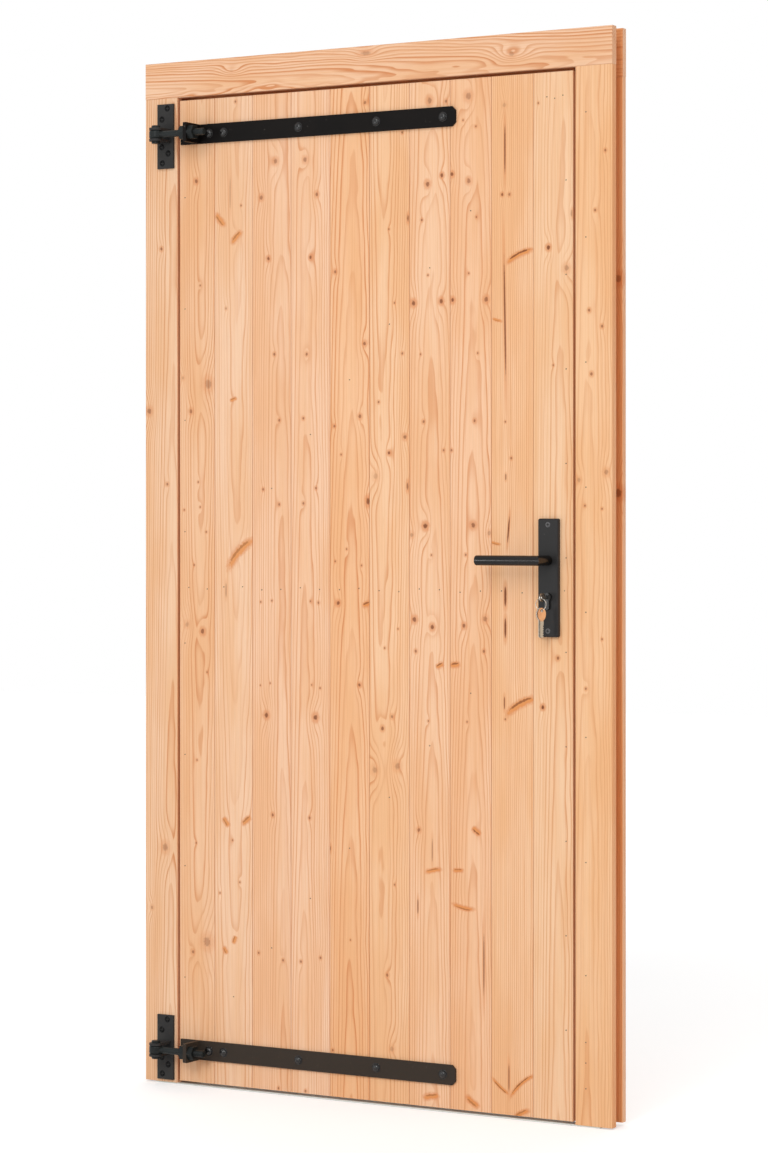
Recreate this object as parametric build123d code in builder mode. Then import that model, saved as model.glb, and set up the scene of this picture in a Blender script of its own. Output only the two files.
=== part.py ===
"""Boarded outdoor door in a three-layer timber frame, with black strap hinges and a lever lock set.

Origin: middle of the threshold strip's underside. +X from the hinges to the lock, +Y inwards, +Z up.
"""

import os
from math import atan2, cos, degrees, hypot, radians, sin, sqrt

from build123d import *

# Timber frame: front boards, core and rear boards, stacked in depth
frame_width = 1090.0
frame_height = 2140.0
front_thick = 18.0
core_thick = 28.0
rear_thick = 15.0
jamb_face = 80.0
head_face = 75.0
wall_groove = 27.0
core_setback = 4.0
stop_lap = 20.0
rear_foot = 7.0
edge_ease = 1.0

# Threshold strip under the jambs
strip_thick = 3.0
strip_inset = 27.0

# Leaf of tongued boards on stiles, rails and braces
hinge_gap = 5.0
lock_gap = 6.0
head_gap = 7.0
foot_gap = 5.0
stop_gap = 5.0
leaf_recess = 2.0
board_count = 10
board_thick = 18.0
first_board_trim = 6.0
last_board_trim = 6.0
board_seam = 0.6
board_chamfer = 0.8
tongue_thick = 6.0
tongue_length = 6.0
tongue_play = 0.3
stile_width = 95.0
rail_height = 140.0
brace_width = 95.0

# Strap hinges with adjustable eye bolts
strap_length = 655.0
strap_width = 40.0
strap_thick = 5.0
strap_corner = 8.0
strap_from_top = 73.0
strap_from_foot = 68.0
strap_inset = 5.0
lug_place = 44.0
lug_thick = 8.0
lug_hole_play = 0.5
lug_beyond_bolt = 15.0
pin_from_edge = 53.0
pin_stand_off = 40.0
pin_diameter = 12.0
pin_play = 0.08
eye_diameter = 28.0
eye_height = 17.0
eye_round = 3.5
ear_thick = 5.0
ear_gap = 0.5
hinge_plate_width = 40.0
hinge_plate_height = 135.0
hinge_plate_thick = 5.0
eye_bolt_diameter = 14.0
eye_bolt_length = 120.0
thread_play = 0.1
nut_flats = 27.0
nut_height = 13.0
pin_head_diameter = 18.0
pin_head_height = 5.0
pin_head_edge = 1.0

# Lock set: plates, levers, lock case, profile cylinder and keys
spindle_height = 1102.0
lock_pitch = 72.0
backset = 50.0
plate_width = 44.0
plate_height = 232.0
plate_thick = 10.0
plate_rise = 82.0
plate_corner = 4.0
plate_edge = 2.0
lever_diameter = 20.0
lever_length = 134.0
lever_stand_off = 48.0
lever_play = 0.4
lever_end_round = 2.0
spindle_side = 8.0
spindle_seat = 20.0
spindle_hole = 14.0
case_thick = 15.0
case_height = 165.0
case_depth = 80.0
case_above_spindle = 45.0
case_play = 0.5
forend_width = 20.0
forend_height = 235.0
forend_thick = 3.0
latch_width = 11.0
latch_height = 32.0
bolt_height = 34.0
latch_length = 30.0
latch_sink = 0.5
strike_height = 190.0
strike_thick = 2.0
keep_depth = 16.0
plug_radius = 8.5
cylinder_height = 33.0
cylinder_stem = 10.0
cylinder_play = 0.4
cylinder_proud_outside = 5.0
cylinder_proud_inside = 5.0
key_thick = 2.0
key_blade_width = 7.0
key_blade_length = 30.0
keyway_play = 0.3
key_neck = 5.0
key_tip = 2.0
key_cut_count = 5
key_cut_pitch = 4.4
key_cut_side = 2.6
bow_width = 17.0
bow_length = 25.0
bow_hole_radius = 3.2
bow_hole_rim = 2.4
ring_radius = 11.0
ring_wire = 1.8
ring_play = 0.2
spare_blade_length = 33.0
spare_spacing = 3.6
spare_turn = 40.0
spare_play = 0.8

# Levels and planes that follow from the sizes above
frame_depth = front_thick + core_thick + rear_thick
front_y = -frame_depth / 2
core_y = front_y + front_thick
rear_y = core_y + core_thick
back_y = rear_y + rear_thick
half_width = frame_width / 2
frame_top = frame_height
head_under = frame_top - head_face
core_head_under = head_under + core_setback
core_top = frame_top - wall_groove
rear_head_under = head_under - stop_lap
opening_left = -half_width + jamb_face
opening_right = half_width - jamb_face

leaf_left = opening_left + hinge_gap
leaf_right = opening_right - lock_gap
leaf_foot = strip_thick + foot_gap
leaf_top = head_under - head_gap
leaf_height = leaf_top - leaf_foot
leaf_y = front_y + leaf_recess
ledge_y = leaf_y + board_thick
leaf_back_y = rear_y - stop_gap
board_pitch = (leaf_right - leaf_left + first_board_trim + last_board_trim) / board_count

upper_strap_z = leaf_top - strap_from_top
lower_strap_z = leaf_foot + strap_from_foot
strap_front_y = leaf_y - strap_thick
pin_x = -half_width + pin_from_edge
pin_y = front_y - pin_stand_off
strap_left = leaf_left + strap_inset
lug_x = strap_left + lug_place

spindle_x = leaf_right - backset
spindle_z = spindle_height
plug_z = spindle_z - lock_pitch
case_z = spindle_z + case_above_spindle - case_height / 2
case_y = (ledge_y + leaf_back_y) / 2
nut_radius = nut_flats / sqrt(3)


def face_on(y):
    """A plane facing the viewer at depth y, with sketch X and Y along world X and Z."""
    return Plane(origin=(0, y, 0), x_dir=(1, 0, 0), z_dir=(0, -1, 0))


def save(part, name):
    """Labels a finished piece and writes it to its own file."""
    part.label = name
    export_step(part, f"parts/{name}.step")


def plank(name, x_range, y_range, z_range, grain):
    """A planed board between three pairs of limits, with its long edges along the grain eased."""
    low = (x_range[0], y_range[0], z_range[0])
    high = (x_range[1], y_range[1], z_range[1])
    centre = tuple((a + b) / 2 for a, b in zip(low, high))
    size = tuple(b - a for a, b in zip(low, high))
    with BuildPart() as piece:
        with Locations(centre):
            Box(*size)
        chamfer(piece.edges().filter_by(grain), edge_ease)
    save(piece.part, name)


def build_frame():
    """Front boards, set-back core and wider rear boards, each as a head on two jambs."""
    front = (front_y, core_y)
    core = (core_y, rear_y)
    rear = (rear_y, back_y)
    across = (-half_width, half_width)
    core_outer = half_width - wall_groove
    core_inner = opening_right + core_setback
    stop_inner = opening_right - stop_lap

    plank("head_front_board", across, front, (head_under, frame_top), Axis.X)
    plank("head_core", (-core_outer, core_outer), core, (core_head_under, core_top), Axis.X)
    plank("head_rear_board", across, rear, (rear_head_under, frame_top), Axis.X)

    plank("hinge_jamb_front_board", (-half_width, opening_left), front, (strip_thick, head_under), Axis.Z)
    plank("hinge_jamb_core", (-core_outer, -core_inner), core, (strip_thick, core_head_under), Axis.Z)
    plank(
        "hinge_jamb_rear_board",
        (-half_width, -stop_inner),
        rear,
        (rear_foot, rear_head_under),
        Axis.Z,
    )
    plank("lock_jamb_front_board", (opening_right, half_width), front, (strip_thick, head_under), Axis.Z)
    plank(
        "lock_jamb_rear_board",
        (stop_inner, half_width),
        rear,
        (rear_foot, rear_head_under),
        Axis.Z,
    )
    build_lock_jamb_core(core_inner, core_outer)

    strip_half = half_width - strip_inset
    plank("threshold_strip", (-strip_half, strip_half), (front_y, back_y), (0, strip_thick), Axis.X)


def build_lock_jamb_core(inner, outer):
    """The lock side's core post, with a seat for the strike plate and keeps behind its openings."""
    strike_middle_z = case_z
    with BuildPart() as post:
        with BuildSketch(Plane.XY.offset(strip_thick)):
            with Locations(((inner + outer) / 2, (core_y + rear_y) / 2)):
                Rectangle(outer - inner, core_thick)
        extrude(amount=core_head_under - strip_thick)
        chamfer(post.edges().filter_by(Axis.Z), edge_ease)
        with Locations((inner + strike_thick / 2, case_y, strike_middle_z)):
            Box(strike_thick, forend_width, strike_height, mode=Mode.SUBTRACT)
        for keep_z, keep_height in keep_places():
            with Locations((inner + keep_depth / 2, case_y, keep_z)):
                Box(keep_depth, latch_width, keep_height, mode=Mode.SUBTRACT)
    save(post.part, "lock_jamb_core")

    with BuildPart() as strike:
        with Locations((inner + strike_thick / 2, case_y, strike_middle_z)):
            Box(strike_thick, forend_width, strike_height)
        for keep_z, keep_height in keep_places():
            with Locations((inner + strike_thick / 2, case_y, keep_z)):
                Box(strike_thick, latch_width, keep_height, mode=Mode.SUBTRACT)
    save(strike.part, "strike_plate")


def keep_places():
    """Height and length of the latch's and the bolt's openings."""
    return ((spindle_z, latch_height), (plug_z, bolt_height))


def build_boards():
    """Ten upright boards, tongue into groove, with small chamfers at the seams on the show side."""
    edge = leaf_left
    for number in range(1, board_count + 1):
        first = number == 1
        last = number == board_count
        pitch = board_pitch - first_board_trim if first else board_pitch
        width = board_pitch - last_board_trim if last else pitch - board_seam
        middle_x = edge + width / 2
        middle_y = leaf_y + board_thick / 2
        with BuildPart() as board:
            with BuildSketch(Plane.XY.offset(leaf_foot)) as profile:
                with Locations((middle_x, middle_y)):
                    Rectangle(width, board_thick)
                chamfer(profile.vertices().group_by(Axis.Y)[0], board_chamfer)
                if not last:
                    with Locations((edge + width, middle_y)):
                        Rectangle(2 * tongue_length, tongue_thick)
                if not first:
                    with Locations((edge, middle_y)):
                        Rectangle(
                            2 * (tongue_length - board_seam + tongue_play),
                            tongue_thick + 2 * tongue_play,
                            mode=Mode.SUBTRACT,
                        )
            extrude(amount=leaf_height)
            if last:
                cut_lock_holes(leaf_y, ledge_y)
        save(board.part, f"leaf_board_{number:02d}")
        edge += pitch


def euro_profile(play=0.0):
    """Draws the profile cylinder's keyhole outline around the plug's centre."""
    stem_drop = cylinder_height - plug_radius - cylinder_stem / 2
    with Locations((spindle_x, plug_z)):
        Circle(plug_radius + play)
    with Locations((spindle_x, plug_z - stem_drop / 2)):
        Rectangle(cylinder_stem + 2 * play, stem_drop)
    with Locations((spindle_x, plug_z - stem_drop)):
        Circle(cylinder_stem / 2 + play)


def cut_lock_holes(y_from, y_to):
    """Cuts the spindle's hole and the cylinder's keyhole through the piece being built."""
    with BuildSketch(face_on(y_to)) as holes:
        with Locations((spindle_x, spindle_z)):
            Circle(spindle_hole / 2)
        euro_profile(cylinder_play)
    extrude(holes.sketch, amount=y_to - y_from, mode=Mode.SUBTRACT)


def build_ledges():
    """Stiles at both edges, three rails between them and a rising brace in each panel."""
    depth = (ledge_y, leaf_back_y)
    inner_left = leaf_left + stile_width
    inner_right = leaf_right - stile_width
    across = (inner_left, inner_right)
    plank("hinge_stile", (leaf_left, inner_left), depth, (leaf_foot, leaf_top), Axis.Z)

    middle_z = (leaf_foot + leaf_top) / 2
    bottom_top = leaf_foot + rail_height
    top_under = leaf_top - rail_height
    plank("bottom_rail", across, depth, (leaf_foot, bottom_top), Axis.X)
    plank("middle_rail", across, depth, (middle_z - rail_height / 2, middle_z + rail_height / 2), Axis.X)
    plank("top_rail", across, depth, (top_under, leaf_top), Axis.X)
    build_brace("lower_brace", across, depth, (bottom_top, middle_z - rail_height / 2))
    build_brace("upper_brace", across, depth, (middle_z + rail_height / 2, top_under))

    with BuildPart() as stile:
        with Locations(((inner_right + leaf_right) / 2, sum(depth) / 2, middle_z)):
            Box(stile_width, depth[1] - depth[0], leaf_height)
        chamfer(stile.edges().filter_by(Axis.Z), edge_ease)
        cut_lock_holes(*depth)
        with Locations((leaf_right - case_depth / 2, case_y, case_z)):
            Box(case_depth, case_thick + 2 * case_play, case_height + 2 * case_play, mode=Mode.SUBTRACT)
        with Locations((leaf_right - forend_thick / 2, case_y, case_z)):
            Box(forend_thick, forend_width, forend_height, mode=Mode.SUBTRACT)
    save(stile.part, "lock_stile")


def build_brace(name, x_range, y_range, z_range):
    """A brace rising from the hinge side to the lock side, cut to fit its panel's corners."""
    panel_width = x_range[1] - x_range[0]
    panel_height = z_range[1] - z_range[0]
    slope = degrees(atan2(panel_height, panel_width))
    with BuildPart() as brace:
        with BuildSketch(face_on(y_range[1])):
            with Locations((sum(x_range) / 2, sum(z_range) / 2)):
                Rectangle(2 * hypot(panel_width, panel_height), brace_width, rotation=slope)
                Rectangle(panel_width, panel_height, mode=Mode.INTERSECT)
        extrude(amount=y_range[1] - y_range[0])
    save(brace.part, name)


def build_hinge(side, z):
    """One strap hinge: plate with two ears, pin, eye bolt, its two nuts and the strap with its lug."""
    build_hinge_plate(f"{side}_hinge_plate", z)
    build_hinge_pin(f"{side}_hinge_pin", z)
    build_eye_bolt(f"{side}_eye_bolt", z)
    build_bolt_nuts(f"{side}_eye_bolt_nuts", z)
    build_strap(f"{side}_strap", z)


def build_hinge_plate(name, z):
    """A screw plate on the jamb, with an ear above and an ear below the eye."""
    plate_y = front_y - hinge_plate_thick
    ear_under = eye_height / 2 + ear_gap
    with BuildPart() as plate:
        with Locations((pin_x, front_y - hinge_plate_thick / 2, z)):
            Box(hinge_plate_width, hinge_plate_thick, hinge_plate_height)
        for ear_z in (z + ear_under, z - ear_under - ear_thick):
            with BuildSketch(Plane.XY.offset(ear_z)):
                with Locations((pin_x, (plate_y + pin_y) / 2)):
                    Rectangle(eye_diameter, plate_y - pin_y)
                with Locations((pin_x, pin_y)):
                    Circle(eye_diameter / 2)
                    Circle(pin_diameter / 2 + pin_play, mode=Mode.SUBTRACT)
            extrude(amount=ear_thick)
    save(plate.part, name)


def build_hinge_pin(name, z):
    """The upright pin through both ears, with a flat round head above and below them."""
    reach = eye_height / 2 + ear_gap + ear_thick
    with BuildPart() as pin:
        for head_z in (z + reach, z - reach - pin_head_height):
            with Locations((pin_x, pin_y, head_z + pin_head_height / 2)):
                Cylinder(pin_head_diameter / 2, pin_head_height)
        head_ends = pin.faces().filter_by(Axis.Z).sort_by(Axis.Z)
        chamfer(head_ends[0].edges() + head_ends[-1].edges(), pin_head_edge)
        with Locations((pin_x, pin_y, z)):
            Cylinder(pin_diameter / 2, 2 * reach)
    save(pin.part, name)


def build_eye_bolt(name, z):
    """A round-edged eye that turns on the pin, with a shank that reaches through the strap's lug."""
    with BuildPart() as bolt:
        with Locations((pin_x, pin_y, z)):
            Cylinder(eye_diameter / 2, eye_height)
        fillet(bolt.edges().filter_by(GeomType.CIRCLE), eye_round)
        with Locations((pin_x + eye_bolt_length / 2, pin_y, z)):
            Cylinder(eye_bolt_diameter / 2, eye_bolt_length, rotation=(0, 90, 0))
        shank_end = bolt.faces().sort_by(Axis.X)[-1]
        chamfer(shank_end.edges(), edge_ease)
        with Locations((pin_x, pin_y, z)):
            Cylinder(pin_diameter / 2 + pin_play, eye_height, mode=Mode.SUBTRACT)
    save(bolt.part, name)


def build_bolt_nuts(name, z):
    """Two nuts that clamp the lug from both sides."""
    with BuildPart() as nuts:
        for nut_x in (lug_x - lug_thick / 2 - nut_height, lug_x + lug_thick / 2):
            with BuildSketch(Plane.YZ.offset(nut_x)):
                with Locations((pin_y, z)):
                    RegularPolygon(nut_radius, 6)
                    Circle(eye_bolt_diameter / 2 + thread_play, mode=Mode.SUBTRACT)
            extrude(amount=nut_height)
    save(nuts.part, name)


def build_strap(name, z):
    """A flat strap with clipped corners at its far end and a lug standing up near its hinge end."""
    lug_tip_y = pin_y - lug_beyond_bolt
    with BuildPart() as strap:
        with BuildSketch(face_on(leaf_y)) as outline:
            with Locations((strap_left + strap_length / 2, z)):
                Rectangle(strap_length, strap_width)
            chamfer(outline.vertices().group_by(Axis.X)[-1], strap_corner)
        extrude(amount=strap_thick)
        with BuildSketch(Plane.YZ.offset(lug_x - lug_thick / 2)) as lug:
            with Locations(((strap_front_y + lug_tip_y) / 2, z)):
                Rectangle(strap_front_y - lug_tip_y, strap_width)
            fillet(lug.vertices().group_by(Axis.Y)[0], strap_corner / 2)
            with Locations((pin_y, z)):
                Circle(eye_bolt_diameter / 2 + lug_hole_play, mode=Mode.SUBTRACT)
        extrude(amount=lug_thick)
    save(strap.part, name)


def build_lock():
    """Plates and levers on both faces, one spindle, the lock case with its latch and the cylinder."""
    outside_y = leaf_y - plate_thick
    inside_y = leaf_back_y + plate_thick
    build_handle_plate("outside_handle_plate", leaf_y, outside_y)
    build_handle_plate("inside_handle_plate", leaf_back_y, inside_y)
    build_lever("outside_lever", outside_y, -1)
    build_lever("inside_lever", inside_y, 1)

    with BuildPart() as spindle:
        reach_out = outside_y - lever_play - spindle_seat
        reach_in = inside_y + lever_play + spindle_seat
        with Locations((spindle_x, (reach_out + reach_in) / 2, spindle_z)):
            Box(spindle_side, reach_in - reach_out, spindle_side)
    save(spindle.part, "spindle")

    build_lock_case()
    build_cylinder(outside_y - cylinder_proud_outside, inside_y + cylinder_proud_inside)


def build_handle_plate(name, seat_y, face_y):
    """A long plate with rounded corners, its spindle hole and its keyhole."""
    low_y = min(seat_y, face_y)
    with BuildPart() as plate:
        with BuildSketch(face_on(low_y + plate_thick)):
            with Locations((spindle_x, spindle_z + plate_rise - plate_height / 2)):
                RectangleRounded(plate_width, plate_height, plate_corner)
        extrude(amount=plate_thick)
        show_face = plate.faces().sort_by(Axis.Y)[0 if face_y < seat_y else -1]
        chamfer(show_face.edges(), plate_edge)
        cut_lock_holes(low_y, low_y + plate_thick)
    save(plate.part, name)


def build_lever(name, face_y, outward):
    """A round bar mitred to a short neck, with a square socket for the spindle."""
    neck_y = face_y + outward * lever_play
    bar_y = face_y + outward * lever_stand_off
    with BuildPart() as lever:
        with BuildLine() as path:
            Polyline(
                (spindle_x, neck_y, spindle_z),
                (spindle_x, bar_y, spindle_z),
                (spindle_x - lever_length, bar_y, spindle_z),
            )
        with BuildSketch(Plane(origin=(spindle_x, neck_y, spindle_z), z_dir=(0, outward, 0))):
            Circle(lever_diameter / 2)
        sweep(path=path.line, transition=Transition.RIGHT)
        free_end = lever.faces().sort_by(Axis.X)[0]
        fillet(free_end.edges(), lever_end_round)
        with Locations((spindle_x, neck_y + outward * spindle_seat / 2, spindle_z)):
            Box(spindle_side, spindle_seat, spindle_side, mode=Mode.SUBTRACT)
    save(lever.part, name)


def build_lock_case():
    """The flat mortise case behind its forend, with the latch and the bolt drawn back in it."""
    case_length = case_depth - forend_thick - case_play
    latch_front = leaf_right - latch_sink
    with BuildPart() as case:
        with Locations((leaf_right - forend_thick - case_length / 2, case_y, case_z)):
            Box(case_length, case_thick, case_height)
        with Locations((leaf_right - forend_thick / 2, case_y, case_z)):
            Box(forend_thick, forend_width, forend_height)
        cut_lock_holes(case_y - case_thick / 2, case_y + case_thick / 2)
        for tongue_z, tongue_height in keep_places():
            with Locations((leaf_right - latch_length / 2, case_y, tongue_z)):
                Box(latch_length, latch_width, tongue_height, mode=Mode.SUBTRACT)
    save(case.part, "lock_case")

    with BuildPart() as tongues:
        for tongue_z, tongue_height in keep_places():
            with Locations(((latch_front + leaf_right - latch_length) / 2, case_y, tongue_z)):
                Box(
                    latch_length - latch_sink,
                    latch_width - 2 * keyway_play,
                    tongue_height - 2 * keyway_play,
                )
    save(tongues.part, "latch_and_bolt")


def build_cylinder(y_out, y_in):
    """The profile cylinder right through the leaf, with the keyway open on the outside."""
    with BuildPart() as cylinder:
        with BuildSketch(face_on(y_in)):
            euro_profile()
        extrude(amount=y_in - y_out)
        keyway_depth = key_blade_length + keyway_play
        with Locations((spindle_x, y_out + keyway_depth / 2, plug_z)):
            Box(
                key_thick + 2 * keyway_play,
                keyway_depth,
                key_blade_width + 2 * keyway_play,
                mode=Mode.SUBTRACT,
            )
    save(cylinder.part, "lock_cylinder")
    build_keys(y_out)


def draw_key(outline, blade_length):
    """Draws a key that hangs from the hole in its bow, with that hole at the sketch's origin."""
    bow_y = bow_hole_rim + bow_hole_radius - bow_length / 2
    tip_y = bow_y - bow_length / 2 - blade_length
    with Locations((0, (bow_y + tip_y) / 2)):
        Rectangle(key_blade_width, bow_y - tip_y)
    chamfer(outline.vertices().group_by(Axis.Y)[0], key_tip)
    for number in range(1, key_cut_count + 1):
        with Locations((key_blade_width / 2, tip_y + number * key_cut_pitch)):
            Rectangle(key_cut_side, key_cut_side, rotation=45, mode=Mode.SUBTRACT)
    with Locations((0, bow_y)):
        Ellipse(bow_width / 2, bow_length / 2)
    Circle(bow_hole_radius, mode=Mode.SUBTRACT)


def build_keys(y_out):
    """A key in the lock, a ring through its bow and two spare keys hanging on the ring."""
    hole_y = y_out - key_neck - bow_length + bow_hole_rim + bow_hole_radius
    into_lock = Plane(
        origin=(spindle_x - key_thick / 2, hole_y, plug_z),
        x_dir=(0, 0, 1),
        z_dir=(1, 0, 0),
    )
    with BuildPart() as key:
        with BuildSketch(into_lock) as outline:
            draw_key(outline, key_neck + key_blade_length)
        extrude(amount=key_thick)
    save(key.part, "lock_key")

    wire_radius = ring_wire / 2
    ring_z = plug_z - (bow_hole_radius - wire_radius - ring_play) - ring_radius
    with BuildPart() as ring:
        with Locations((spindle_x, hole_y, ring_z)):
            Torus(ring_radius, wire_radius, rotation=(90, 0, 0))
    save(ring.part, "key_ring")

    facing = (cos(radians(spare_turn)), -sin(radians(spare_turn)), 0)
    along = (sin(radians(spare_turn)), cos(radians(spare_turn)), 0)
    wire_drop = sqrt(ring_radius**2 - (spare_spacing / 2) ** 2)
    hole_z = ring_z - wire_drop - (bow_hole_radius - wire_radius - spare_play)
    for name, side in (("front_spare_key", 1), ("rear_spare_key", -1)):
        spare_x = spindle_x + side * spare_spacing / 2
        hanging = Plane(origin=(spare_x, hole_y, hole_z), x_dir=along, z_dir=facing)
        with BuildPart() as spare:
            with BuildSketch(hanging) as outline:
                draw_key(outline, spare_blade_length)
            extrude(amount=key_thick / 2, both=True)
        save(spare.part, name)


os.makedirs("parts", exist_ok=True)
build_frame()
build_boards()
build_ledges()
build_hinge("upper", upper_strap_z)
build_hinge("lower", lower_strap_z)
build_lock()
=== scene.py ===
"""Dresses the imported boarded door: softwood, black fittings, keys, fasteners and studio light."""

import math

import bmesh
import bpy
import mathutils
import numpy as np
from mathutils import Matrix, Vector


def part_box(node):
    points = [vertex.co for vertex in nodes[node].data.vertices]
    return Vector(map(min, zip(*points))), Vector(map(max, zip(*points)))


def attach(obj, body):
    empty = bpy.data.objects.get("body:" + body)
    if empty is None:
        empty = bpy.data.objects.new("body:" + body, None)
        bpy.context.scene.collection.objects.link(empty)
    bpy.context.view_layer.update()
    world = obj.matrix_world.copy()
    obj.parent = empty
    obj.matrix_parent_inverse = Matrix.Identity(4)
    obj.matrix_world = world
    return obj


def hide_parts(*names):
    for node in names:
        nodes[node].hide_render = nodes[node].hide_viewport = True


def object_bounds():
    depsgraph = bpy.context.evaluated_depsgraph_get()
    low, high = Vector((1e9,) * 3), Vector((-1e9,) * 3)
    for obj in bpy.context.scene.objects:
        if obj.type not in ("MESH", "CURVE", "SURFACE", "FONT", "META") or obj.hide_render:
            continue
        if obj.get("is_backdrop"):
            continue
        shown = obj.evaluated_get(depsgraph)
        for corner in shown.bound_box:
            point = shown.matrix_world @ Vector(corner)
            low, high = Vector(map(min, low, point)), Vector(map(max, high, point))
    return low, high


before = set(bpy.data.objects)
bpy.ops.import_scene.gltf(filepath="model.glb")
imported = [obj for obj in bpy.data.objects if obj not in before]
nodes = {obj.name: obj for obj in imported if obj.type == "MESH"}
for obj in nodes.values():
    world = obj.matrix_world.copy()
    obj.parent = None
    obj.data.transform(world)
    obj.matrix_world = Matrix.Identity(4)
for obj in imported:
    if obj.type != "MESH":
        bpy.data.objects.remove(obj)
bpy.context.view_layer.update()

# Planes of the door's faces, in metres
FRONT_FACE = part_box("head_front_board")[0].y
LEAF_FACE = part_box("leaf_board_01")[0].y
LEAF_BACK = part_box("hinge_stile")[1].y
STRAP_THICKNESS = 0.005
STRAP_FACE = LEAF_FACE - STRAP_THICKNESS
PLATE_THICKNESS = 0.005
PLATE_FACE = FRONT_FACE - PLATE_THICKNESS
HINGES = ("upper", "lower")


def srgb(red, green, blue):
    """A colour picked on an 8-bit display, as linear light: power 2.4 with the short straight foot."""
    value = np.array([red, green, blue]) / 255.0
    linear = np.where(value <= 0.04045, value / 12.92, ((value + 0.055) / 1.055) ** 2.4)
    return (*linear, 1.0)


# Node helpers
def feed(tree, socket, value):
    """Links a socket to another socket, or sets it to a constant."""
    if isinstance(value, bpy.types.NodeSocket):
        tree.links.new(value, socket)
    else:
        socket.default_value = value


def maths(tree, operation, first, second=0.0, third=0.0):
    """One Math node's result."""
    node = tree.nodes.new("ShaderNodeMath")
    node.operation = operation
    for socket, value in zip(node.inputs, (first, second, third)):
        feed(tree, socket, value)
    return node.outputs[0]


def times(tree, first, second):
    """A product."""
    return maths(tree, "MULTIPLY", first, second)


def times_plus(tree, first, second, third):
    """A product, and a third value added to it."""
    return maths(tree, "MULTIPLY_ADD", first, second, third)


def minus(tree, first, second):
    """A difference."""
    return maths(tree, "SUBTRACT", first, second)


def vectors(tree, operation, first, second=(0.0, 0.0, 0.0)):
    """One Vector Math node's result."""
    node = tree.nodes.new("ShaderNodeVectorMath")
    node.operation = operation
    feed(tree, node.inputs[0], first)
    feed(tree, node.inputs[1], second)
    return node.outputs["Value"] if operation == "LENGTH" else node.outputs["Vector"]


def span(tree, value, low, high, to_low=0.0, to_high=1.0):
    """A smooth step of a value from one range to another."""
    node = tree.nodes.new("ShaderNodeMapRange")
    node.interpolation_type = "SMOOTHSTEP"
    for socket, entry in zip(node.inputs, (value, low, high, to_low, to_high)):
        feed(tree, socket, entry)
    return node.outputs[0]


def blend(tree, factor, first, second, mode="MIX"):
    """One colour Mix node's result."""
    node = tree.nodes.new("ShaderNodeMix")
    node.data_type = "RGBA"
    node.blend_type = mode
    feed(tree, node.inputs["Factor"], factor)
    feed(tree, next(s for s in node.inputs if s.name == "A" and s.type == "RGBA"), first)
    feed(tree, next(s for s in node.inputs if s.name == "B" and s.type == "RGBA"), second)
    return next(s for s in node.outputs if s.type == "RGBA")


def combine(tree, x, y, z):
    """Three values as one vector."""
    node = tree.nodes.new("ShaderNodeCombineXYZ")
    for socket, value in zip(node.inputs, (x, y, z)):
        feed(tree, socket, value)
    return node.outputs[0]


def split(tree, vector):
    """A vector's three values."""
    node = tree.nodes.new("ShaderNodeSeparateXYZ")
    feed(tree, node.inputs[0], vector)
    return node.outputs["X"], node.outputs["Y"], node.outputs["Z"]


def noise(tree, vector, scale, detail=2.0, roughness=0.5):
    """A noise texture's value, about 0.5 on average."""
    node = tree.nodes.new("ShaderNodeTexNoise")
    feed(tree, node.inputs["Vector"], vector)
    feed(tree, node.inputs["Scale"], scale)
    node.inputs["Detail"].default_value = detail
    node.inputs["Roughness"].default_value = roughness
    return node.outputs["Fac"]


def new_group(name, places, values, outputs):
    """A shader node group taking vectors and values by name: its tree, its given values and its results."""
    tree = bpy.data.node_groups.new(name, "ShaderNodeTree")
    for labels, way, kind in (
        (places, "INPUT", "NodeSocketVector"),
        (values, "INPUT", "NodeSocketFloat"),
        (outputs, "OUTPUT", "NodeSocketFloat"),
    ):
        for label in labels:
            tree.interface.new_socket(name=label, in_out=way, socket_type=kind)
    given = tree.nodes.new("NodeGroupInput").outputs
    results = tree.nodes.new("NodeGroupOutput").inputs
    return tree, given, results


def place_group(tree, group, values):
    """Places a node group, feeds its inputs by name and gives its outputs."""
    node = tree.nodes.new("ShaderNodeGroup")
    node.node_tree = group
    for label, value in values.items():
        feed(tree, node.inputs[label], value)
    return node.outputs


# Knots: heart, amber wood and halo fade in between these distances from the middle, in radii
HEART_RIM = (0.90, 0.40)
AMBER_RIM = (1.20, 0.70)
HALO_RIM = (2.1, 0.9)
# The swell's bell reaches this many radii across the grain, and a step along it counts as a part of one
SWELL_REACH = 2.4
SWELL_SQUEEZE = 0.42


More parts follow.
